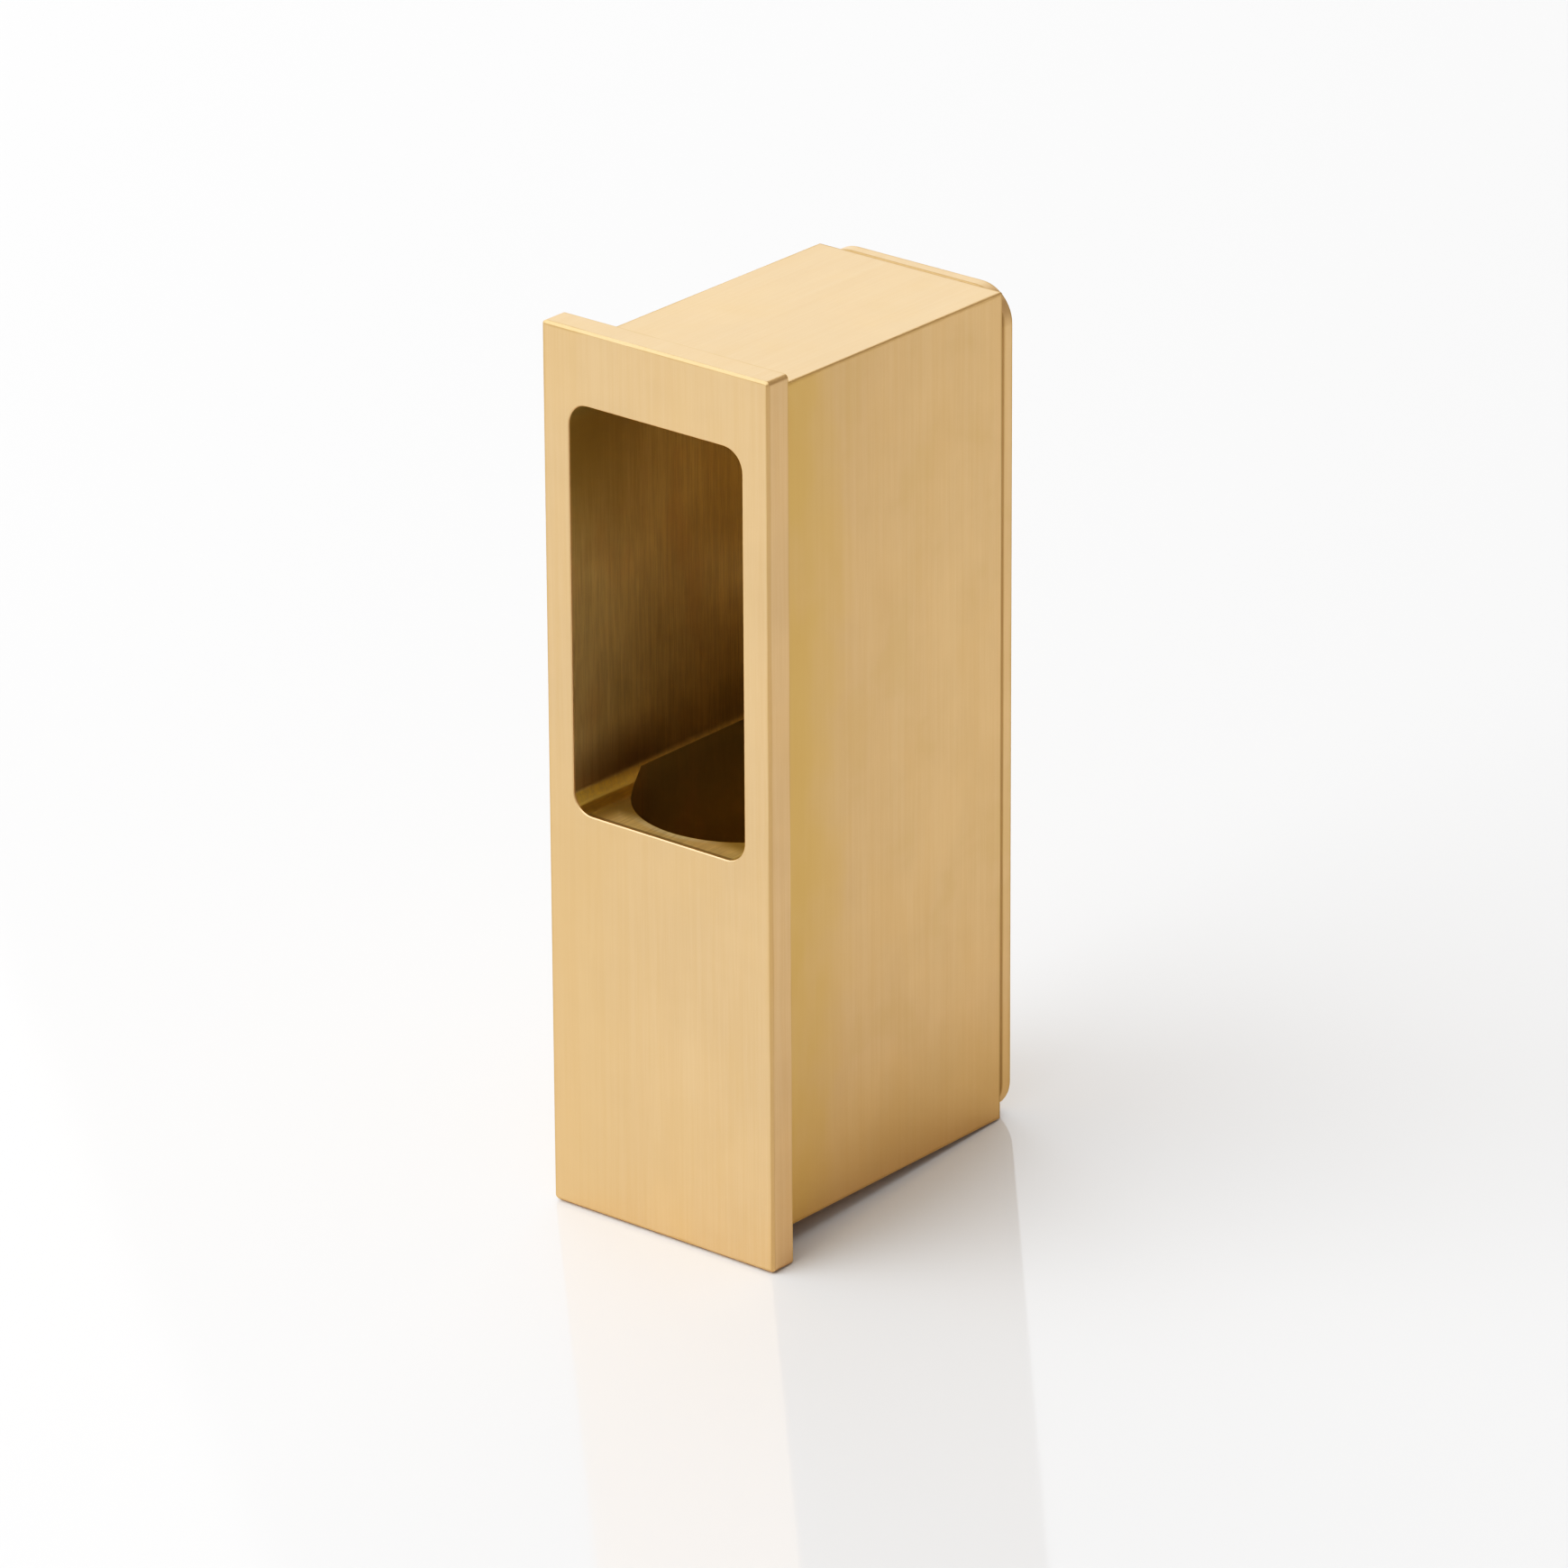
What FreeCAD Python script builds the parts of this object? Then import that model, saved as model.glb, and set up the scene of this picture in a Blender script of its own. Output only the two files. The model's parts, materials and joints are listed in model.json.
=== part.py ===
import FreeCAD, Part
import math
import os

# Pocket door pull, in millimetres: a face plate that covers the mortise in a door's edge,
# a deep body behind it, a window with a finger hollow below it, and a screwed-on back plate.
# X runs across the plate, Y from its front face into the door, Z upwards. The origin is at
# the bottom of the bounding box, midway across it and midway along its depth.

# Face plate
plate_height = 100.0
plate_width = 30.5
plate_thickness = 3.5

# Body behind the plate, smaller than the plate all round
side_overhang = 2.8
end_overhang = 2.5
body_depth = 38.5

# Window, milled straight through the plate and the body
window_width = 23.4
window_height = 46.0
window_top_margin = 8.25
window_corner_radius = 2.5

# Finger hollow, which goes down behind the lower half of the plate to the solid foot of the body
lip_thickness = 2.05
hollow_side_step = 0.1
hollow_front_flattening = 0.45
foot_height = 19.0
hollow_floor_radius = 1.5

# Back plate, which closes the open back of the body
back_plate_thickness = 1.75
back_plate_corner_radius = 4.0

# Countersunk holes for the wood screws that hold the pull in the door
fixing_hole_diameter = 4.0
fixing_sink_diameter = 6.4
fixing_spacing = 24.0

# Countersunk M2 screws that hold the back plate
screw_diameter = 2.0
screw_head_diameter = 3.8
screw_length = 7.0
screw_socket_sides = 6
screw_socket_width = 1.3
screw_socket_depth = 0.7
screw_side_inset = 5.0
lower_screw_inset = 5.0
thread_clearance = 0.02
screw_point_room = 0.6

# Small flats on the edges, and the plate's corners as seen from the front
plate_corner_radius = 0.5
plate_edge_break = 0.25
body_edge_break = 0.15
window_edge_break = 0.1

# How far a cutting shape runs past the face that it cuts, and what counts as the same place
cut_past = 1.0
same_place = 1e-6

# Places that follow from the sizes
overall_depth = plate_thickness + body_depth + back_plate_thickness
front_y = -overall_depth / 2
seat_y = front_y + plate_thickness
back_seat_y = seat_y + body_depth
rear_y = back_seat_y + back_plate_thickness
body_width = plate_width - 2 * side_overhang
body_height = plate_height - 2 * end_overhang
body_bottom = end_overhang
body_top = end_overhang + body_height
window_top = plate_height - window_top_margin
sill = window_top - window_height
window_middle = (window_top + sill) / 2
hollow_half_width = window_width / 2 - hollow_side_step
hollow_front_radius = hollow_half_width + hollow_front_flattening
hollow_front_y = front_y + lip_thickness
hollow_side_y = hollow_front_y + hollow_front_radius - math.sqrt(hollow_front_radius**2 - hollow_half_width**2)
hollow_floor = body_bottom + foot_height
screw_x = body_width / 2 - screw_side_inset
upper_screw_z = (body_top + window_top) / 2
lower_screw_z = body_bottom + lower_screw_inset
screw_places = [(x, z) for z in (lower_screw_z, upper_screw_z) for x in (-screw_x, screw_x)]
fixing_places = [window_middle - fixing_spacing / 2, window_middle + fixing_spacing / 2]


def block(width, height, y_from, y_to, bottom):
    """A box that is centred on X."""
    corner = FreeCAD.Vector(-width / 2, y_from, bottom)
    return Part.makeBox(width, y_to - y_from, height, corner)


def runs_along_depth(edge):
    """True for a straight edge from front to back."""
    direction = edge.Vertexes[-1].Point - edge.Vertexes[0].Point
    return abs(direction.x) + abs(direction.z) < same_place


def lies_at_depth(edge, y):
    """True for an edge that lies wholly in the upright plane at y."""
    box = edge.BoundBox
    return abs(box.YMin - y) < same_place and abs(box.YMax - y) < same_place


def round_cornered_block(width, height, radius, y_from, y_to, bottom):
    """A centred block whose four corners are round when seen from the front."""
    solid = block(width, height, y_from, y_to, bottom)
    return solid.makeFillet(radius, [edge for edge in solid.Edges if runs_along_depth(edge)])


def round_bar(radius, y_from, y_to, x, z):
    """A cylinder whose axis runs from front to back."""
    start = FreeCAD.Vector(x, y_from, z)
    return Part.makeCylinder(radius, y_to - y_from, start, FreeCAD.Vector(0, 1, 0))


def round_taper(radius_from, radius_to, y_from, y_to, x, z):
    """A length of cone whose axis runs from front to back."""
    start = FreeCAD.Vector(x, y_from, z)
    return Part.makeCone(radius_from, radius_to, y_to - y_from, start, FreeCAD.Vector(0, 1, 0))


def face_plate():
    """The plate with slightly rounded corners and a small flat on the edges of both faces."""
    plate = round_cornered_block(plate_width, plate_height, plate_corner_radius, front_y, seat_y, 0)
    rims = [edge for edge in plate.Edges if lies_at_depth(edge, front_y) or lies_at_depth(edge, seat_y)]
    return plate.makeChamfer(plate_edge_break, rims)


def body():
    """The deep block behind the plate, with a small flat on its long edges and its rear rim."""
    solid = block(body_width, body_height, seat_y - plate_thickness / 2, back_seat_y, body_bottom)
    outer = [edge for edge in solid.Edges if runs_along_depth(edge) or lies_at_depth(edge, back_seat_y)]
    return solid.makeChamfer(body_edge_break, outer)


def window_pocket():
    """What the cutter takes out between the front face and the open back."""
    y_from = front_y - cut_past
    y_to = back_seat_y + cut_past
    return round_cornered_block(window_width, window_height, window_corner_radius, y_from, y_to, sill)


def finger_hollow():
    """What is taken out below the sill: almost half round at the front, straight to the open back."""
    left = FreeCAD.Vector(-hollow_half_width, hollow_side_y, hollow_floor)
    nose = FreeCAD.Vector(0, hollow_front_y, hollow_floor)
    right = FreeCAD.Vector(hollow_half_width, hollow_side_y, hollow_floor)
    back_right = FreeCAD.Vector(hollow_half_width, back_seat_y + cut_past, hollow_floor)
    back_left = FreeCAD.Vector(-hollow_half_width, back_seat_y + cut_past, hollow_floor)
    outline = [Part.Arc(left, nose, right).toShape(), Part.makeLine(right, back_right)]
    outline += [Part.makeLine(back_right, back_left), Part.makeLine(back_left, left)]
    floor_face = Part.Face(Part.Wire(outline))
    top = sill + window_corner_radius
    solid = floor_face.extrude(FreeCAD.Vector(0, 0, top - hollow_floor))
    floor_edges = [edge for edge in solid.Edges if edge.BoundBox.ZMax < hollow_floor + same_place]
    cutter_edges = [edge for edge in floor_edges if not lies_at_depth(edge, back_seat_y + cut_past)]
    return solid.makeFillet(hollow_floor_radius, cutter_edges)


def tapped_holes():
    """Blind holes in the body for the back plate's screws."""
    depth = screw_length - back_plate_thickness + screw_point_room
    radius = screw_diameter / 2 + thread_clearance
    bars = [round_bar(radius, back_seat_y - depth, back_seat_y + cut_past, x, z) for x, z in screw_places]
    return Part.Compound(bars)


def housing():
    """Face plate and body in one piece, with the window, the finger hollow and the tapped holes."""
    solid = face_plate().fuse(body()).removeSplitter()
    solid = solid.cut(window_pocket()).cut(finger_hollow()).cut(tapped_holes())
    half_window = window_width / 2 + window_edge_break
    rim = [edge for edge in solid.Edges if lies_at_depth(edge, front_y) and edge.BoundBox.XMax < half_window
           and edge.BoundBox.XMin > -half_window and edge.BoundBox.ZMin > sill - window_edge_break]
    return solid.makeChamfer(window_edge_break, rim)


def seat_from_rear(hole_diameter, sink_diameter, x, z):
    """What a right-angled countersink takes out of the back plate's rear face."""
    depth = (sink_diameter - hole_diameter) / 2
    return round_taper(hole_diameter / 2, sink_diameter / 2, rear_y - depth, rear_y, x, z)


def seat_from_recess(hole_diameter, sink_diameter, x, z):
    """What a right-angled countersink takes out of the back plate's face in the recess."""
    depth = (sink_diameter - hole_diameter) / 2
    return round_taper(sink_diameter / 2, hole_diameter / 2, back_seat_y, back_seat_y + depth, x, z)


def back_plate():
    """Thin round-cornered plate, countersunk for its own screws and for those into the door."""
    plate = round_cornered_block(body_width, body_height, back_plate_corner_radius,
                                 back_seat_y, rear_y, body_bottom)
    rims = [edge for edge in plate.Edges if lies_at_depth(edge, rear_y) or lies_at_depth(edge, back_seat_y)]
    plate = plate.makeChamfer(body_edge_break, rims)
    y_from = back_seat_y - cut_past
    y_to = rear_y + cut_past
    clear_diameter = screw_diameter + 2 * thread_clearance
    for x, z in screw_places:
        plate = plate.cut(round_bar(clear_diameter / 2, y_from, y_to, x, z))
        plate = plate.cut(seat_from_rear(clear_diameter, screw_head_diameter, x, z))
    for z in fixing_places:
        plate = plate.cut(round_bar(fixing_hole_diameter / 2, y_from, y_to, 0, z))
        plate = plate.cut(seat_from_recess(fixing_hole_diameter, fixing_sink_diameter, 0, z))
    return plate


def back_plate_screw(x, z):
    """Countersunk screw with a hexagon socket, its head level with the back plate."""
    head_height = (screw_head_diameter - screw_diameter) / 2
    head = round_taper(screw_diameter / 2, screw_head_diameter / 2, rear_y - head_height, rear_y, x, z)
    shank = round_bar(screw_diameter / 2, rear_y - screw_length, rear_y - head_height, x, z)
    bottom = FreeCAD.Vector(x, rear_y - screw_socket_depth, z)
    corner = FreeCAD.Vector(screw_socket_width / 2 / math.cos(math.pi / screw_socket_sides), 0, 0)
    depth_axis = FreeCAD.Vector(0, 1, 0)
    angles = [360 * step / screw_socket_sides for step in range(screw_socket_sides + 1)]
    outline = [bottom + FreeCAD.Rotation(depth_axis, angle).multVec(corner) for angle in angles]
    socket_floor = Part.Face(Part.makePolygon(outline))
    socket = socket_floor.extrude(FreeCAD.Vector(0, screw_socket_depth + cut_past, 0))
    return head.fuse(shank).removeSplitter().cut(socket)


def back_plate_screws():
    """The four like screws as one group of separate solids."""
    return Part.Compound([back_plate_screw(x, z) for x, z in screw_places])


pieces = {
    "housing": housing(),
    "back_plate": back_plate(),
    "back_plate_screws": back_plate_screws(),
}

os.makedirs("parts", exist_ok=True)
for node, shape in pieces.items():
    shape.exportStep("parts/" + node + ".step")
    print(node, len(shape.Solids), "solids", round(shape.Volume, 1), "mm3", "valid", shape.isValid())
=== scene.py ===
import json
import math

import bmesh
import bpy
from bpy.props import FloatProperty, FloatVectorProperty, PointerProperty
from bpy.types import Operator, Panel, PropertyGroup
from mathutils import Matrix, Vector


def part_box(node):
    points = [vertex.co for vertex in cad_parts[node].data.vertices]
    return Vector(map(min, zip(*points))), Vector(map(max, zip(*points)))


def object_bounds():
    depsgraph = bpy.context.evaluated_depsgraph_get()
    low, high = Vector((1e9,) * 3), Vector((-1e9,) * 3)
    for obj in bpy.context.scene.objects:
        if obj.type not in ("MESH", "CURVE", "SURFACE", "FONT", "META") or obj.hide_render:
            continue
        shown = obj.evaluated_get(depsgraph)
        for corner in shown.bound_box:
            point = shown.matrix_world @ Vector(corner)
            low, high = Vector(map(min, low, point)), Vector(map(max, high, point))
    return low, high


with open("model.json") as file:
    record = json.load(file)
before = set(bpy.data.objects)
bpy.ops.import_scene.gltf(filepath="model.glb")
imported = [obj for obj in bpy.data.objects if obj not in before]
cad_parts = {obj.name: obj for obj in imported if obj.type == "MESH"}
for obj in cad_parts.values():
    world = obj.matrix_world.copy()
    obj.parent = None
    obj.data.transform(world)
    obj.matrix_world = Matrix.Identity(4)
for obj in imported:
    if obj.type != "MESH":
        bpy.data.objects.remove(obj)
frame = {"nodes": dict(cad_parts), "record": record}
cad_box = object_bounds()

bl_info = {
    "name": "Pocket Door Pull Finish",
    "version": (1, 0, 0),
    "blender": (4, 5, 0),
    "location": "3D View > Sidebar > Door Pull",
    "description": "Gives a packed pocket door pull its satin brass, its stage, its lights and its camera",
    "category": "Object",
}

MM = 0.001

# Height of the sill, and the round front of the finger hollow behind it, seen from above.
# They repeat lengths of the part's source and only place colours.
SILL = 45.75 * MM
HOLLOW_CENTRE = -7.775 * MM
HOLLOW_RADIUS = 12.05 * MM

# How close together the screws' small dark spots lie
SPOTS_PER_METRE = 900.0

# The softboxes' distance from the pull and their width, in metres
SOFTBOX_DISTANCE = 1.3
SOFTBOX_WIDTH = 1.3

# Name, azimuth (0 in front, 90 at the right), elevation, brightness against a white of 1
SOFTBOXES = (
    ("fill_left", -100.0, 30.0, 0.45),
    ("key_left_front", -33.0, 45.0, 2.1),
    ("low_left_front", -30.0, 15.0, 0.78),
    ("right_front", 20.0, 28.0, 0.33),
    ("low_right", 105.0, 10.0, 0.25),
    ("rim_left_back", -140.0, 24.0, 1.15),
    ("overhead", 0.0, 90.0, 0.73),
)

# Where the photograph was taken from: metres and degrees
CAMERA_AIM = Vector((0.000496, -0.001906, 0.045669))
CAMERA_DISTANCE = 1.1062
CAMERA_AZIMUTH = 39.7325
CAMERA_ELEVATION = 22.3703
CAMERA_ROLL = -0.3293
SENSOR_WIDTH = 36

# The tone curve's last point, as light against a white of 1, and its number of steps
CURVE_END = 1.5
CURVE_STEPS = 14


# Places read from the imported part

def mount_place(name):
    """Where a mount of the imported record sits."""
    for mount in frame["record"]["mounts"]:
        if mount["name"] == name:
            return Vector(mount["pos_m"])
    raise RuntimeError("the packed record has no mount named " + name)


def opening_box(name):
    """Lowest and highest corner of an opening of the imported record."""
    for opening in frame["record"]["physics"]["openings"]:
        if opening["name"] == name:
            return Vector(opening["box_m"][0]), Vector(opening["box_m"][1])
    raise RuntimeError("the packed record has no opening named " + name)


def screw_centres():
    """Middle of each screw head, as (x, z), from the quarter of the mesh that it lies in."""
    points = [vertex.co for vertex in frame["nodes"]["back_plate_screws"].data.vertices]
    middle = (max(point.z for point in points) + min(point.z for point in points)) / 2
    centres = []
    for right in (False, True):
        for upper in (False, True):
            own = [point for point in points if (point.x > 0) == right and (point.z > middle) == upper]
            across = [point.x for point in own]
            height = [point.z for point in own]
            centres.append(((min(across) + max(across)) / 2, (min(height) + max(height)) / 2))
    return centres


def resting_line():
    """The point where the pull's lowest edge touches the floor, and the slope of its lean.

    The pull leans back: the plate's lower rear edge and the rear end of the body touch the floor.
    """
    points = [vertex.co for node in frame["nodes"].values() for vertex in node.data.vertices]
    lowest = min(point.z for point in points)
    foot = max(point.y for point in points if point.z < lowest + 0.01 * MM)
    slope = min((point.z - lowest) / (point.y - foot) for point in points if point.y > foot + MM)
    return Vector((0, foot, lowest)), slope


# Sizes and colours that a user would change, and what the settings of one kind have in common

COLOUR = {"subtype": "COLOR", "size": 3, "min": 0, "max": 1}
LENGTH = {"subtype": "DISTANCE", "unit": "LENGTH"}


class BrassSettings(PropertyGroup):
    """Colour, grain and gloss of the satin brass, and the colours that paint its shade and highlights."""
    colour: FloatVectorProperty(
        name="Colour", description="Reflected colour of the clean metal",
        default=(0.85, 0.583, 0.329), **COLOUR)
    deep_colour: FloatVectorProperty(
        name="Deep colour", description="Colour in the grain's furrows",
        default=(0.756, 0.470, 0.233), **COLOUR)
    warm_colour: FloatVectorProperty(
        name="Warm colour", description="Colour of slightly tarnished patches",
        default=(0.82, 0.53, 0.26), **COLOUR)
    # The film colour also paints the shade behind the face plate and low down on the body.
    film_and_shade_colour: FloatVectorProperty(
        name="Film colour", description="Colour of the film behind the face plate",
        default=(0.75, 0.50, 0.185), **COLOUR)
    # Paints the dark lines of shade along the edges.
    edge_shade_colour: FloatVectorProperty(
        name="Edge colour", description="Colour of the narrow flats along the edges",
        default=(0.58, 0.38, 0.15), **COLOUR)
    # Also paints the thin line of shade on the sill behind the window's rim.
    dirt_and_shade_colour: FloatVectorProperty(
        name="Dirt colour", description="Colour of the dirt in the joint and in the recess's corners",
        default=(0.30, 0.17, 0.07), **COLOUR)
    recess_colour: FloatVectorProperty(
        name="Recess colour", description="Colour of the milled walls of the recess",
        default=(0.92, 0.75, 0.415), **COLOUR)
    recess_deep_colour: FloatVectorProperty(
        name="Recess deep colour", description="Colour in the grain's furrows on the recess's walls",
        default=(0.585, 0.455, 0.23), **COLOUR)
    # Paints the shade at the top of the recess, near the window.
    recess_top_shade_colour: FloatVectorProperty(
        name="Tarnish colour", description="Colour of the brown top of the recess",
        default=(0.50, 0.36, 0.115), **COLOUR)
    sill_colour: FloatVectorProperty(
        name="Sill colour", description="Colour of the flat faces of the recess",
        default=(0.93, 0.77, 0.46), **COLOUR)
    # Paints the shade on the sill away from the window's rim and at its left end.
    sill_rear_shade_colour: FloatVectorProperty(
        name="Sill rear colour", description="Colour of the sill away from the window's rim",
        default=(0.44, 0.29, 0.07), **COLOUR)
    # Paints a highlight along the sill's rear edge.
    sill_edge_highlight_colour: FloatVectorProperty(
        name="Rubbed colour", description="Colour of the sill's rear edge, which fingers rub",
        default=(1.0, 0.92, 0.70), **COLOUR)
    # Paints a highlight on the round corners at the sill's ends.
    fillet_highlight_colour: FloatVectorProperty(
        name="Fillet colour", description="Colour of the round corners at the sill's ends",
        default=(0.88, 0.68, 0.22), **COLOUR)
    hollow_colour: FloatVectorProperty(
        name="Hollow colour", description="Colour of the dull walls of the finger hollow",
        default=(0.52, 0.41, 0.18), **COLOUR)
    hollow_foot_colour: FloatVectorProperty(
        name="Hollow foot colour", description="Colour deep down in the finger hollow",
        default=(0.72, 0.58, 0.24), **COLOUR)
    roughness: FloatProperty(
        name="Roughness", description="Mean roughness of the brushed faces",
        subtype="FACTOR", min=0.05, max=1, default=0.5)
    recess_roughness: FloatProperty(
        name="Recess roughness", description="Mean roughness of the recess's milled walls",
        subtype="FACTOR", min=0.05, max=1, default=0.5)
    sill_roughness: FloatProperty(
        name="Sill roughness", description="Mean roughness of the recess's lying faces",
        subtype="FACTOR", min=0.05, max=1, default=0.9)
    brushing: FloatProperty(
        name="Brushing", description="How much wider highlights are across the grain than along it",
        subtype="FACTOR", min=0, max=1, default=0.6)
    grain_width: FloatProperty(
        name="Grain width", description="Width of one brush line",
        min=0.00002, max=0.002, default=0.16 * MM, precision=5, **LENGTH)
    grain_length: FloatProperty(
        name="Grain length", description="Length of one brush line",
        min=0.0005, max=0.1, default=9 * MM, precision=4, **LENGTH)
    grain_depth: FloatProperty(
        name="Grain depth", description="Depth of the brush lines",
        min=0, max=0.0001, default=0.004 * MM, precision=6, **LENGTH)
    cloud_size: FloatProperty(
        name="Cloud size", description="Size of the soft patches of tone",
        min=0.001, max=0.1, default=13 * MM, precision=4, **LENGTH)


class ScrewSettings(PropertyGroup):
    """Colour and turning marks of the screws."""
    colour: FloatVectorProperty(
        name="Colour", description="Reflected colour of the turned metal",
        default=(0.76, 0.56, 0.29), **COLOUR)
    ring_colour: FloatVectorProperty(
        name="Ring colour", description="Colour in the turning marks",
        default=(0.62, 0.42, 0.19), **COLOUR)
    spot_colour: FloatVectorProperty(
        name="Spot colour", description="Colour of the small dark spots",
        default=(0.50, 0.33, 0.15), **COLOUR)
    roughness: FloatProperty(
        name="Roughness", description="Mean roughness of the turned faces",
        subtype="FACTOR", min=0.05, max=1, default=0.28)
    ring_pitch: FloatProperty(
        name="Ring pitch", description="Distance between turning marks",
        min=0.00002, max=0.001, default=0.12 * MM, precision=5, **LENGTH)
    ring_depth: FloatProperty(
        name="Ring depth", description="Depth of the turning marks",
        min=0, max=0.0001, default=0.006 * MM, precision=6, **LENGTH)


class StageSettings(PropertyGroup):
    """Floor, lights and camera."""
    floor_colour: FloatVectorProperty(
        name="Floor colour", description="Colour of the polished white floor",
        default=(0.82, 0.82, 0.82), **COLOUR)
    floor_roughness: FloatProperty(
        name="Floor roughness", description="Blur of the floor's mirror image",
        subtype="FACTOR", min=0, max=1, default=0.06)
    floor_size: FloatProperty(
        name="Floor size", description="Side of the square floor",
        min=0.5, max=50, default=12, **LENGTH)
    surround: FloatProperty(
        name="Surround", description="Brightness of the white room round the stage",
        min=0, max=10, default=0.25)
    backdrop: FloatProperty(
        name="Backdrop", description="Brightness of the backdrop as the camera sees it",
        min=0, max=1, default=0.98)
    lens: FloatProperty(
        name="Focal length", description="Focal length on a 36 mm wide sensor, in millimetres",
        min=10, max=500, default=239.68)
    contrast: FloatProperty(
        name="Contrast", description="How much the camera deepens dark tones",
        min=1, max=3, default=1.5)
    shoulder: FloatProperty(
        name="Shoulder", description="How softly bright tones run out to white; less is softer",
        min=0.2, max=10, default=0.5)


# Small helpers for node trees

def new_tree(name):
    """A new material with an empty node tree, and that tree."""
    material = bpy.data.materials.new(name)
    material.use_nodes = True
    material.node_tree.nodes.clear()
    return material, material.node_tree


def feed(tree, socket, value):
    """Links an output to an input, or sets the input's own value."""
    if isinstance(value, bpy.types.NodeSocket):
        tree.links.new(value, socket)
    else:
        socket.default_value = value


def calc(tree, operation, *values, clamp=False):
    """A Math node. Returns its output."""
    node = tree.nodes.new("ShaderNodeMath")
    node.operation = operation
    node.use_clamp = clamp
    for socket, value in zip(node.inputs, values):
        feed(tree, socket, value)
    return node.outputs[0]


def combined(tree, operation, values):
    """One Math operation on any number of values, one after the other."""
    result = values[0]
    for value in values[1:]:
        result = calc(tree, operation, result, value)
    return result


def product(tree, *values):
    """All values multiplied. For masks, it is 1 where every one of them is 1."""
    return combined(tree, "MULTIPLY", values)


def largest(tree, *values):
    """The largest of the values."""
    return combined(tree, "MAXIMUM", values)


def opposite(tree, mask):
    """0 where a mask is 1, and 1 where it is 0."""
    return calc(tree, "SUBTRACT", 1.0, mask)


def vector_calc(tree, operation, *values):
    """A Vector Math node. Returns its vector output."""
    node = tree.nodes.new("ShaderNodeVectorMath")
    node.operation = operation
    for socket, value in zip(node.inputs, values):
        feed(tree, socket, value)
    return node.outputs[0]


def ramp(tree, value, low, high, to_low=0.0, to_high=1.0):
    """A smooth step of value between two limits."""
    node = tree.nodes.new("ShaderNodeMapRange")
    node.interpolation_type = "SMOOTHSTEP"
    for socket, number in zip(node.inputs, (value, low, high, to_low, to_high)):
        feed(tree, socket, number)
    return node.outputs[0]


def fade(tree, value, low, high, to_high=0.0):
    """A smooth step from 1 down to a lower number, as value rises between two limits."""
    return ramp(tree, value, low, high, 1.0, to_high)


def within(tree, value, low, high, soft):
    """1 where value lies between two limits, 0 outside them, with soft borders."""
    return product(tree, ramp(tree, value, low - soft, low), fade(tree, value, high, high + soft))


def mix(tree, kind, sockets, factor, first, second):
    """A Mix node for one kind of data, whose two inputs have the given numbers. Returns the node."""
    node = tree.nodes.new("ShaderNodeMix")
    node.data_type = kind
    feed(tree, node.inputs[0], factor)
    feed(tree, node.inputs[sockets[0]], first)
    feed(tree, node.inputs[sockets[1]], second)
    return node


def blend(tree, factor, first, second):
    """A mix of two numbers."""
    return mix(tree, "FLOAT", (2, 3), factor, first, second).outputs[0]


def blend_vector(tree, factor, first, second):
    """A mix of two vectors."""
    return mix(tree, "VECTOR", (4, 5), factor, first, second).outputs[1]


def blend_colour(tree, factor, first, second, kind="MIX"):
    """A mix of two colours."""
    node = mix(tree, "RGBA", (6, 7), factor, first, second)
    node.blend_type = kind
    return node.outputs[2]


def opaque(colour):
    """A colour with an alpha of 1."""
    return (colour[0], colour[1], colour[2], 1.0)


def tint(tree, colour, mask, target, share=None):
    """A colour that goes over to a target where mask is 1, wholly or by a share."""
    factor = mask if share is None else product(tree, mask, share)
    return blend_colour(tree, factor, colour, opaque(target))


def noise(tree, place, scale, detail, roughness):
    """A Noise Texture. Returns its value, which is 0.5 on average."""
    node = tree.nodes.new("ShaderNodeTexNoise")
    feed(tree, node.inputs["Vector"], place)
    node.inputs["Scale"].default_value = scale
    node.inputs["Detail"].default_value = detail
    node.inputs["Roughness"].default_value = roughness
    return node.outputs[0]


def uneven(tree, texture, amount, mean, clamp=False):
    """A number that varies round its mean with a texture."""
    return calc(tree, "MULTIPLY_ADD", calc(tree, "SUBTRACT", texture, 0.5), amount, mean, clamp=clamp)


def parts_of(tree, vector):
    """The three components of a vector."""
    node = tree.nodes.new("ShaderNodeSeparateXYZ")
    feed(tree, node.inputs[0], vector)
    return node.outputs


def joined(tree, x, y, z):
    """A vector from three components."""
    node = tree.nodes.new("ShaderNodeCombineXYZ")
    for socket, value in zip(node.inputs, (x, y, z)):
        feed(tree, socket, value)
    return node.outputs[0]


def metal_surface(tree, colour, roughness, height, relief):
    """Ends a tree in a metal with relief, whose height of 1 is relief deep. Returns the shader."""
    bump = tree.nodes.new("ShaderNodeBump")
    bump.inputs["Distance"].default_value = relief
    feed(tree, bump.inputs["Height"], height)
    shader = tree.nodes.new("ShaderNodeBsdfPrincipled")
    shader.inputs["Metallic"].default_value = 1.0
    feed(tree, shader.inputs["Base Color"], colour)
    feed(tree, shader.inputs["Roughness"], roughness)
    feed(tree, shader.inputs["Normal"], bump.outputs[0])
    output = tree.nodes.new("ShaderNodeOutputMaterial")
    tree.links.new(shader.outputs[0], output.inputs["Surface"])
    return shader


# Satin brass: where each finish, painted shade and painted highlight lies, as masks from 0 to 1

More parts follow.
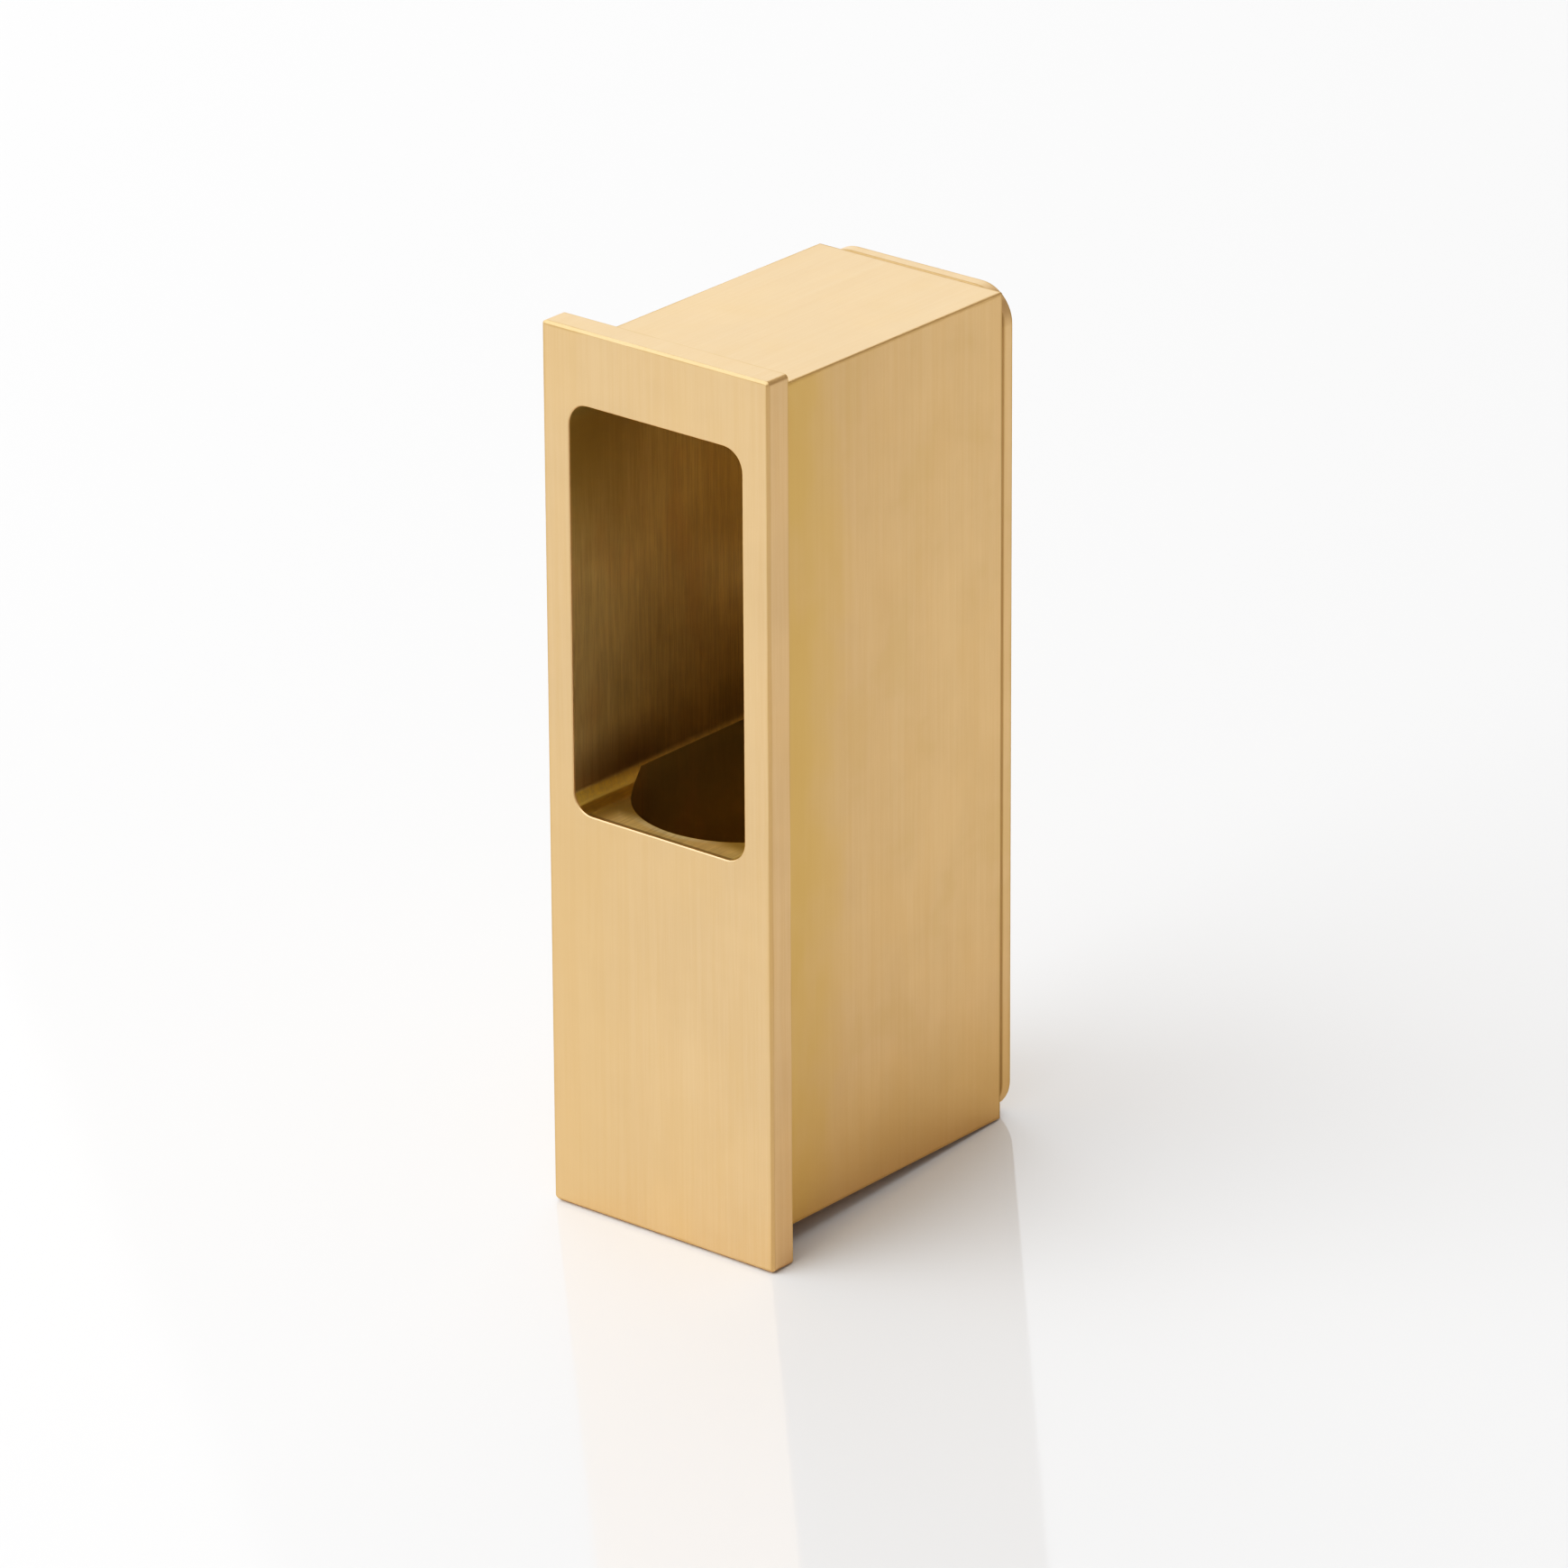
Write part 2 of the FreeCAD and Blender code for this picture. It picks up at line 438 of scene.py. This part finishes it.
def recess_walls(tree, place):
    """1 on the walls of the recess and of the finger hollow, 0 on the outside of the pull.

    The openings of the record are a little smaller than the recess, so this reaches past them.
    """
    low, high = opening_box("finger_window")
    floor = opening_box("finger_hollow")[0].z
    past_side, past_floor, past_top = 0.9 * MM, 0.7 * MM, 0.95 * MM
    behind_front, behind_joint = 0.4 * MM, 0.4 * MM
    x, y, z = parts_of(tree, place)
    across = within(tree, x, low.x - past_side, high.x + past_side, 0.05 * MM)
    upright = within(tree, z, floor - past_floor, high.z + past_top, 0.05 * MM)
    deep = within(tree, y, cad_box[0].y + behind_front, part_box("back_plate")[0].y + behind_joint, 0.3 * MM)
    return product(tree, across, upright, deep)


def edge_distance(tree, place, low, high):
    """How far a point on a box's surface is from the box's nearest edge.

    Of its distances to the nearest face across each axis, that is the middle one. Away from the
    surface, where the smallest one isn't near 0, it is a large number.
    """
    middle = (low + high) / 2
    half = (high - low) / 2
    at_surface = 0.3 * MM
    offset = vector_calc(tree, "ABSOLUTE", vector_calc(tree, "SUBTRACT", place, middle))
    gap = parts_of(tree, vector_calc(tree, "SUBTRACT", tuple(half), offset))
    wider = calc(tree, "MAXIMUM", gap[0], gap[1])
    narrower = calc(tree, "MINIMUM", gap[0], gap[1])
    second = calc(tree, "MAXIMUM", narrower, calc(tree, "MINIMUM", wider, gap[2]))
    smallest = calc(tree, "MINIMUM", narrower, gap[2])
    off_surface = calc(tree, "GREATER_THAN", calc(tree, "ABSOLUTE", smallest), at_surface)
    return calc(tree, "ADD", second, off_surface)


def edge_flats(tree, place, patches, boxes):
    """1 on the narrow flats along the edges of the blocks, with a ragged border. Their darker colour is
    painted shade.
    """
    least_width, raggedness = 0.17 * MM, 0.4 * MM
    distances = [calc(tree, "ABSOLUTE", edge_distance(tree, place, low, high)) for low, high in boxes]
    nearest = combined(tree, "MINIMUM", distances)
    width = calc(tree, "MULTIPLY_ADD", patches, raggedness, least_width)
    return fade(tree, calc(tree, "SUBTRACT", nearest, width), -0.12 * MM, 0.08 * MM)


def joint_dirt(tree, place):
    """1 in the joint between the body and the back plate."""
    y = parts_of(tree, place)[1]
    from_joint = calc(tree, "ABSOLUTE", calc(tree, "SUBTRACT", y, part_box("back_plate")[0].y))
    return fade(tree, from_joint, 0.12 * MM, 0.34 * MM)


def body_film_and_shade(tree, place, clouds, patches):
    """A film on the body, thicker in blotches, and painted shade on the body behind the face plate and low
    down.
    """
    least, in_blotches, low_down = 0.18, 0.32, 0.55
    y, z = parts_of(tree, place)[1:]
    seat = mount_place("flange_seat").y
    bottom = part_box("back_plate")[0].z
    reach = calc(tree, "MULTIPLY_ADD", clouds, 16 * MM, seat + 9 * MM)
    # Painted shade behind the face plate's overhang
    shade_behind_plate = product(tree, fade(tree, y, seat + 4 * MM, reach), ramp(tree, patches, 0.3, 0.6, 0.7, 1.0))
    blotches = product(tree, ramp(tree, clouds, 0.6, 0.32), in_blotches)
    # Painted shade low down on the body
    shade_low_down = ramp(tree, z, bottom + 2 * MM, bottom + 24 * MM, low_down, 0.0)
    film_and_shade = largest(tree, shade_behind_plate, blotches, shade_low_down, least)
    return product(tree, film_and_shade, calc(tree, "GREATER_THAN", y, seat - 0.3 * MM))


def recess_top_shade(tree, place, inside):
    """1 at the top of the recess, near the window: painted shade on its walls."""
    y, z = parts_of(tree, place)[1:]
    front = cad_box[0].y
    top = opening_box("finger_window")[1].z
    high = ramp(tree, z, top - 22 * MM, top - 3 * MM)
    near = fade(tree, y, front + 2 * MM, front + 21 * MM)
    return product(tree, high, near, inside)


def warmer_lower_left(tree, place, inside):
    """1 on the left of the face plate below the window, where its colour is a little warmer."""
    x, y, z = parts_of(tree, place)
    left = ramp(tree, x, 4 * MM, -14 * MM)
    low = ramp(tree, z, SILL + 18 * MM, SILL - 8 * MM)
    on_plate = calc(tree, "LESS_THAN", y, mount_place("flange_seat").y - MM)
    return product(tree, left, low, on_plate, opposite(tree, inside))


def sill_shade(tree, place, sill):
    """A thin line of painted shade on the sill, just inside the window's rim."""
    y = parts_of(tree, place)[1]
    front = cad_box[0].y
    return product(tree, within(tree, y, front + 0.3 * MM, front + 0.55 * MM, 0.2 * MM), sill)


def sill_rear_shade(tree, place, sill):
    """1 on the part of the sill that lies away from the window's rim, and at the sill's left end: painted
    shade.
    """
    x, y = parts_of(tree, place)[:2]
    front = cad_box[0].y
    back = ramp(tree, y, front + 1.8 * MM, front + 4 * MM)
    left_end = ramp(tree, x, -6.8 * MM, -9 * MM)
    return product(tree, largest(tree, back, left_end), sill)


def sill_edge_highlight(tree, place, sill):
    """1 along the sill's rear edge, fading towards the window's rim: a painted highlight."""
    x, y = parts_of(tree, place)[:2]
    back = calc(tree, "SUBTRACT", y, HOLLOW_CENTRE)
    squares = calc(tree, "ADD", product(tree, x, x), product(tree, back, back))
    from_edge = calc(tree, "SUBTRACT", calc(tree, "SQRT", squares), HOLLOW_RADIUS)
    return product(tree, fade(tree, from_edge, 0.3 * MM, 1.1 * MM), sill)


def painted_fillet_highlight(tree, place, slope, inside):
    """1 on the round corners at the sill's ends, fading into the depth of the recess: a painted highlight.
    """
    y, z = parts_of(tree, place)[1:]
    front = cad_box[0].y
    leaning = within(tree, slope, 0.25, 0.9, 0.15)
    low_down = calc(tree, "LESS_THAN", z, SILL + 3 * MM)
    in_light = fade(tree, y, front + 11 * MM, front + 16 * MM, 0.3)
    return product(tree, leaning, inside, low_down, in_light)


def below_sill(tree, place, slope, inside, milled):
    """1 on the walls and floor of the finger hollow. Its walls reach up between the sill's fillets.

    On the back plate, which wasn't milled with the hollow, the border is soft.
    """
    z = parts_of(tree, place)[2]
    if not milled:
        return product(tree, ramp(tree, z, SILL + 9 * MM, SILL - 8 * MM), inside)
    upright = calc(tree, "LESS_THAN", slope, 0.05)
    wall = product(tree, calc(tree, "LESS_THAN", z, SILL + 1.85 * MM), upright)
    under = calc(tree, "LESS_THAN", z, SILL - 0.05 * MM)
    return product(tree, largest(tree, wall, under), inside)


def darker_wall_foot(tree, place, inside):
    """Darker colour at the foot of the recess's walls, strongest near the window."""
    y, z = parts_of(tree, place)[1:]
    front = cad_box[0].y
    above = fade(tree, z, SILL + 2.4 * MM, SILL + 9 * MM)
    over_fillet = ramp(tree, z, SILL + 1.9 * MM, SILL + 2.4 * MM)
    near = fade(tree, y, front + 8 * MM, front + 20 * MM, 0.25)
    return product(tree, above, over_fillet, near, inside)


# Satin brass: grain, colour and gloss

def upright_grain(tree, place, normal, lying, inside, settings):
    """Brush lines that run upright on standing faces and from front to back on lying ones.

    Inside the recess the lines are finer and shorter. Returns (fine grain, long streaks,
    direction across the grain).
    """
    finer, shorter, streak_scale = 0.7, 1.8, 0.22
    across = calc(tree, "MULTIPLY_ADD", inside, finer / settings.grain_width, 1 / settings.grain_width)
    along = calc(tree, "MULTIPLY_ADD", inside, shorter / settings.grain_length, 1 / settings.grain_length)
    on_standing = joined(tree, across, across, along)
    on_lying = joined(tree, across, along, across)
    stretched = vector_calc(tree, "MULTIPLY", place, blend_vector(tree, lying, on_standing, on_lying))
    longer = vector_calc(tree, "MULTIPLY", stretched, (streak_scale, streak_scale, streak_scale))
    fine = noise(tree, stretched, 1.0, detail=2.0, roughness=0.6)
    streaks = noise(tree, longer, 1.0, detail=3.0, roughness=0.55)
    along_grain = blend_vector(tree, lying, (0, 0, 1), (0, 1, 0))
    return fine, streaks, vector_calc(tree, "CROSS_PRODUCT", normal, along_grain)


def clean_colour(tree, place, masks, settings):
    """Colour of the metal without grain and dirt: the outside, the recess, its sill and the hollow, with a
    painted highlight along the sill's rear edge, painted highlights on the fillets and painted shade on the
    sill away from the rim.
    """
    sill = masks["sill"]
    colour = tint(tree, opaque(settings.colour), masks["inside"], settings.recess_colour)
    colour = tint(tree, colour, sill, settings.sill_colour)
    # Painted highlight along the sill's rear edge
    colour = tint(tree, colour, sill_edge_highlight(tree, place, sill), settings.sill_edge_highlight_colour)
    # Painted shade on the sill away from the rim
    colour = tint(tree, colour, sill_rear_shade(tree, place, sill), settings.sill_rear_shade_colour, share=0.95)
    # Painted highlight on the fillets
    colour = tint(tree, colour, masks["fillet_highlight"], settings.fillet_highlight_colour)
    deep_down = ramp(tree, parts_of(tree, place)[2], SILL, SILL - 9 * MM)
    hollow = tint(tree, opaque(settings.hollow_colour), deep_down, settings.hollow_foot_colour)
    return blend_colour(tree, masks["hollow"], colour, hollow)


def furrowed(tree, colour, fine, streaks, masks, settings):
    """The clean colour with the furrows of the grain, which are weaker in the hollow."""
    deep = tint(tree, opaque(settings.deep_colour), masks["inside"], settings.recess_deep_colour)
    grain = calc(tree, "MULTIPLY_ADD", fine, 0.55, product(tree, streaks, 0.45))
    furrow = ramp(tree, grain, 0.64, 0.36)
    strength = calc(tree, "MULTIPLY_ADD", masks["inside"], 0.1, 0.32)
    in_hollow = fade(tree, masks["hollow"], 0.0, 1.0, 0.25)
    return blend_colour(tree, product(tree, furrow, strength, in_hollow), colour, deep)


def clouded(tree, colour, place, clouds, standing):
    """A colour with soft clouds, and painted light that makes the standing faces a little lighter towards
    the back.
    """
    y = parts_of(tree, place)[1]
    tone = ramp(tree, clouds, 0.3, 0.7, 0.945, 1.025)
    painted_light_towards_back = ramp(tree, y, mount_place("flange_seat").y + 10 * MM, cad_box[1].y - 8 * MM, 1.0, 1.07)
    tone = product(tree, tone, blend(tree, standing, 1.0, painted_light_towards_back))
    return blend_colour(tree, 1.0, colour, joined(tree, tone, tone, tone), "MULTIPLY")


def aged_and_shaded(tree, colour, place, patches, masks, settings, milled):
    """A colour with warm patches, film, dirt in the joint, a warmer lower left and a darker foot of the
    recess's walls, and painted shade: behind the face plate, low down on the body, at the top of the recess,
    on the edge flats and in a thin line on the sill.
    """
    inside, sill = masks["inside"], masks["sill"]
    colour = tint(tree, colour, ramp(tree, patches, 0.45, 0.75), settings.warm_colour, share=0.25)
    if milled:
        colour = tint(tree, colour, warmer_lower_left(tree, place, inside), settings.warm_colour, share=0.4)
    # Film, and painted shade behind the face plate and low down on the body
    colour = tint(tree, colour, masks["film_and_shade"], settings.film_and_shade_colour, share=0.8)
    # Painted shade at the top of the recess
    colour = tint(tree, colour, recess_top_shade(tree, place, inside), settings.recess_top_shade_colour, share=0.9)
    # Painted shade on the edge flats
    colour = tint(tree, colour, masks["flats"], settings.edge_shade_colour, share=0.34)
    dirt_and_shade = product(tree, joint_dirt(tree, place), calc(tree, "MULTIPLY_ADD", masks["lying"], 0.3, 0.32))
    # Painted shade: a thin line on the sill behind the window's rim
    dirt_and_shade = largest(tree, dirt_and_shade, product(tree, sill_shade(tree, place, sill), 0.5))
    if milled:
        dirt_and_shade = largest(tree, dirt_and_shade, product(tree, darker_wall_foot(tree, place, inside), 0.6))
    return tint(tree, colour, dirt_and_shade, settings.dirt_and_shade_colour)


def brushed_gloss(tree, fine, clouds, masks, settings):
    """Roughness that varies with grain and clouds, and is duller on the sill and in the hollow."""
    gloss = uneven(tree, fine, 0.16, settings.roughness)
    gloss = uneven(tree, clouds, 0.10, gloss)
    for mask, more in (
        ("inside", settings.recess_roughness - settings.roughness),
        ("sill", settings.sill_roughness - settings.recess_roughness),
        ("fillet_highlight", 0.08),
        ("hollow", 0.25),
    ):
        gloss = calc(tree, "MULTIPLY_ADD", masks[mask], more, gloss)
    return calc(tree, "MULTIPLY_ADD", masks["flats"], 0.06, gloss, clamp=True)


def satin_brass(name, boxes, settings, milled):
    """Brushed brass. boxes holds the (lowest, highest) corners of the blocks whose edge flats get painted
    shade.

    milled says whether the piece is the housing, with its face plate, sill and finger hollow.
    """
    material, tree = new_tree(name)
    source = tree.nodes.new("ShaderNodeTexCoord")
    place = source.outputs["Object"]
    normal = source.outputs["Normal"]
    clouds = noise(tree, place, 1 / settings.cloud_size, detail=3.0, roughness=0.55)
    patches = noise(tree, vector_calc(tree, "MULTIPLY", place, (1, 1, 0.45)), 2.2 / settings.cloud_size,
                    detail=2.0, roughness=0.5)

    inside = recess_walls(tree, place)
    slope = calc(tree, "ABSOLUTE", parts_of(tree, normal)[2])
    lying = ramp(tree, slope, 0.6, 0.8)
    standing = opposite(tree, lying)
    film_and_shade = body_film_and_shade(tree, place, clouds, patches)
    masks = {
        "inside": inside,
        "lying": lying,
        "sill": product(tree, ramp(tree, slope, 0.93, 0.99), inside),
        "fillet_highlight": painted_fillet_highlight(tree, place, slope, inside),
        "hollow": below_sill(tree, place, slope, inside, milled),
        "flats": edge_flats(tree, place, patches, boxes),
        "film_and_shade": product(tree, film_and_shade, standing, opposite(tree, inside)),
    }

    fine, streaks, across_grain = upright_grain(tree, place, normal, lying, inside, settings)
    colour = clean_colour(tree, place, masks, settings)
    colour = furrowed(tree, colour, fine, streaks, masks, settings)
    colour = clouded(tree, colour, place, clouds, standing)
    colour = aged_and_shaded(tree, colour, place, patches, masks, settings, milled)
    gloss = brushed_gloss(tree, fine, clouds, masks, settings)
    deeper_inside = calc(tree, "MULTIPLY_ADD", inside, 0.6, 1.0)
    height = product(tree, calc(tree, "MULTIPLY_ADD", streaks, 1.5, fine), deeper_inside)
    shader = metal_surface(tree, colour, gloss, height, settings.grain_depth)
    shader.inputs["Anisotropic"].default_value = settings.brushing
    feed(tree, shader.inputs["Tangent"], across_grain)
    return material


def turned_brass(name, settings):
    """Brass with fine rings round each screw's own axis."""
    material, tree = new_tree(name)
    place = tree.nodes.new("ShaderNodeTexCoord").outputs["Object"]
    distances = []
    for x, z in screw_centres():
        from_axis = vector_calc(tree, "SUBTRACT", place, (x, 0, z))
        length = tree.nodes.new("ShaderNodeVectorMath")
        length.operation = "LENGTH"
        feed(tree, length.inputs[0], vector_calc(tree, "MULTIPLY", from_axis, (1, 0, 1)))
        distances.append(length.outputs[1])
    radius = combined(tree, "MINIMUM", distances)
    along_axis = product(tree, parts_of(tree, place)[1], 0.5)
    rings = noise(tree, joined(tree, radius, along_axis, 0.0), 1 / settings.ring_pitch,
                  detail=2.0, roughness=0.6)
    spots = noise(tree, place, SPOTS_PER_METRE, detail=3.0, roughness=0.6)
    colour = tint(tree, opaque(settings.colour), rings, settings.ring_colour, share=0.5)
    colour = tint(tree, colour, ramp(tree, spots, 0.5, 0.75), settings.spot_colour, share=0.3)
    gloss = uneven(tree, rings, 0.2, settings.roughness, clamp=True)
    metal_surface(tree, colour, gloss, rings, settings.ring_depth)
    return material


def give_material(node, material):
    """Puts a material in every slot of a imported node."""
    piece = frame["nodes"].get(node)
    if piece is None:
        raise RuntimeError("the packed part has no node named " + node)
    for slot in piece.material_slots:
        slot.material = material


class DOORPULL_OT_finish_housing(Operator):
    """Give the plate and body their brushed brass"""
    bl_idname = "doorpull.finish_housing"
    bl_label = "Finish Housing"

    def execute(self, context):
        seat = mount_place("flange_seat").y
        low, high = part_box("housing")
        back_low, back_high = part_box("back_plate")
        plate_box = (low, Vector((high.x, seat, high.z)))
        body_low = Vector((back_low.x, seat - 2 * MM, back_low.z))
        body_box = (body_low, Vector((back_high.x, high.y, back_high.z)))
        settings = context.scene.doorpull_brass
        brass = satin_brass("satin_brass_housing", [plate_box, body_box], settings, milled=True)
        give_material("housing", brass)
        return {"FINISHED"}


class DOORPULL_OT_finish_back_plate(Operator):
    """Give the back plate its brushed brass"""
    bl_idname = "doorpull.finish_back_plate"
    bl_label = "Finish Back Plate"

    def execute(self, context):
        settings = context.scene.doorpull_brass
        brass = satin_brass("satin_brass_back_plate", [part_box("back_plate")], settings, milled=False)
        give_material("back_plate", brass)
        return {"FINISHED"}


class DOORPULL_OT_finish_screws(Operator):
    """Give the back plate's screws their turned brass"""
    bl_idname = "doorpull.finish_screws"
    bl_label = "Finish Screws"

    def execute(self, context):
        give_material("back_plate_screws", turned_brass("turned_brass", context.scene.doorpull_screws))
        return {"FINISHED"}


# Stage

def polished_floor(settings):
    """A square floor that touches the leaning pull."""
    foot, slope = resting_line()
    mesh = bpy.data.meshes.new("floor")
    shape = bmesh.new()
    bmesh.ops.create_grid(shape, x_segments=2, y_segments=2, size=settings.floor_size / 2)
    shape.transform(Matrix.Translation(foot) @ Matrix.Rotation(math.atan(slope), 4, "X"))
    shape.to_mesh(mesh)
    shape.free()
    floor = bpy.data.objects.new("floor", mesh)
    bpy.context.scene.collection.objects.link(floor)
    material, tree = new_tree("polished_white")
    shader = tree.nodes.new("ShaderNodeBsdfPrincipled")
    shader.inputs["Base Color"].default_value = opaque(settings.floor_colour)
    shader.inputs["Roughness"].default_value = settings.floor_roughness
    shader.inputs["IOR"].default_value = 1.5
    output = tree.nodes.new("ShaderNodeOutputMaterial")
    tree.links.new(shader.outputs[0], output.inputs["Surface"])
    mesh.materials.append(material)


def white_room(settings):
    """Even white light from all round, and a white backdrop for the camera."""
    world = bpy.data.worlds.new("white_room")
    world.use_nodes = True
    tree = world.node_tree
    tree.nodes.clear()
    light = tree.nodes.new("ShaderNodeBackground")
    light.inputs["Strength"].default_value = settings.surround
    seen = tree.nodes.new("ShaderNodeBackground")
    seen.inputs["Strength"].default_value = settings.backdrop
    for background in (light, seen):
        background.inputs["Color"].default_value = (1, 1, 1, 1)
    path = tree.nodes.new("ShaderNodeLightPath")
    choice = tree.nodes.new("ShaderNodeMixShader")
    tree.links.new(path.outputs["Is Camera Ray"], choice.inputs[0])
    tree.links.new(light.outputs[0], choice.inputs[1])
    tree.links.new(seen.outputs[0], choice.inputs[2])
    output = tree.nodes.new("ShaderNodeOutputWorld")
    tree.links.new(choice.outputs[0], output.inputs["Surface"])
    bpy.context.scene.world = world


def direction(azimuth, elevation):
    """Unit vector from the pull towards a place on the stage."""
    around = math.radians(azimuth)
    up = math.radians(elevation)
    return Vector((math.sin(around) * math.cos(up), -math.cos(around) * math.cos(up), math.sin(up)))


def softbox(name, azimuth, elevation, brightness):
    """A square soft light that faces the pull, with its brightness against a white of 1."""
    lamp = bpy.data.lights.new(name, "AREA")
    lamp.shape = "SQUARE"
    lamp.size = SOFTBOX_WIDTH
    lamp.energy = brightness * math.pi * SOFTBOX_WIDTH ** 2
    light = bpy.data.objects.new(name, lamp)
    away = direction(azimuth, elevation)
    middle = (cad_box[0] + cad_box[1]) / 2
    turn = away.to_track_quat("Z", "Y").to_matrix().to_4x4()
    light.matrix_world = Matrix.Translation(middle + away * SOFTBOX_DISTANCE) @ turn
    light.visible_camera = False
    bpy.context.scene.collection.objects.link(light)


def photo_camera(settings):
    """The camera at the photograph's viewing angle."""
    data = bpy.data.cameras.new("photo_camera")
    data.sensor_fit = "HORIZONTAL"
    data.sensor_width = SENSOR_WIDTH
    data.lens = settings.lens
    data.clip_start = 0.01
    data.clip_end = 100
    back = direction(CAMERA_AZIMUTH, CAMERA_ELEVATION)
    level = Vector((0, 0, 1)).cross(back).normalized()
    upright = back.cross(level)
    roll = math.radians(CAMERA_ROLL)
    right = level * math.cos(roll) + upright * math.sin(roll)
    up = back.cross(right)
    turn = Matrix((right, up, back)).transposed().to_4x4()
    camera = bpy.data.objects.new("photo_camera", data)
    camera.matrix_world = Matrix.Translation(CAMERA_AIM + back * CAMERA_DISTANCE) @ turn
    bpy.context.scene.collection.objects.link(camera)
    bpy.context.scene.camera = camera


def camera_response(settings):
    """Gives the picture a camera's tone curve: deep dark tones, and a soft run to white."""
    view = bpy.context.scene.view_settings
    view.view_transform = "Standard"
    view.use_curve_mapping = True
    mapping = view.curve_mapping
    mapping.use_clip = False
    mapping.extend = "HORIZONTAL"
    points = mapping.curves[3].points
    for step in range(CURVE_STEPS + 1):
        light = CURVE_END * (step / CURVE_STEPS) ** 2
        power = light ** settings.contrast
        tone = (1 + settings.shoulder) * power / (power + settings.shoulder)
        if step == 0:
            points[0].location = (light, tone)
        elif step == CURVE_STEPS:
            points[-1].location = (light, tone)
        else:
            points.new(light, tone)
    mapping.update()


class DOORPULL_OT_build_stage(Operator):
    """Build the floor, the lights and the camera"""
    bl_idname = "doorpull.build_stage"
    bl_label = "Build Stage"

    def execute(self, context):
        settings = context.scene.doorpull_stage
        polished_floor(settings)
        white_room(settings)
        for values in SOFTBOXES:
            softbox(*values)
        photo_camera(settings)
        camera_response(settings)
        return {"FINISHED"}


class DOORPULL_PT_panel(Panel):
    """Lists the sizes, the colours and the steps that use them"""
    bl_idname = "DOORPULL_PT_panel"
    bl_label = "Door Pull"
    bl_space_type = "VIEW_3D"
    bl_region_type = "UI"
    bl_category = "Door Pull"

    def draw(self, context):
        for group, operators in (("doorpull_brass", ("finish_housing", "finish_back_plate")),
                                 ("doorpull_screws", ("finish_screws",)),
                                 ("doorpull_stage", ("build_stage",))):
            box = self.layout.box()
            settings = getattr(context.scene, group)
            for name in settings.bl_rna.properties.keys():
                if name not in ("rna_type", "name"):
                    box.prop(settings, name)
            for name in operators:
                box.operator("doorpull." + name)


CLASSES = (
    BrassSettings, ScrewSettings, StageSettings,
    DOORPULL_OT_finish_housing, DOORPULL_OT_finish_back_plate, DOORPULL_OT_finish_screws,
    DOORPULL_OT_build_stage, DOORPULL_PT_panel,
)


def register():
    for kind in CLASSES:
        bpy.utils.register_class(kind)
    bpy.types.Scene.doorpull_brass = PointerProperty(type=BrassSettings)
    bpy.types.Scene.doorpull_screws = PointerProperty(type=ScrewSettings)
    bpy.types.Scene.doorpull_stage = PointerProperty(type=StageSettings)


def unregister():
    del bpy.types.Scene.doorpull_stage
    del bpy.types.Scene.doorpull_screws
    del bpy.types.Scene.doorpull_brass
    for kind in reversed(CLASSES):
        bpy.utils.unregister_class(kind)


def main():
    register()
    bpy.ops.doorpull.finish_housing()
    bpy.ops.doorpull.finish_back_plate()
    bpy.ops.doorpull.finish_screws()
    bpy.ops.doorpull.build_stage()


if __name__ == "__main__":
    main()
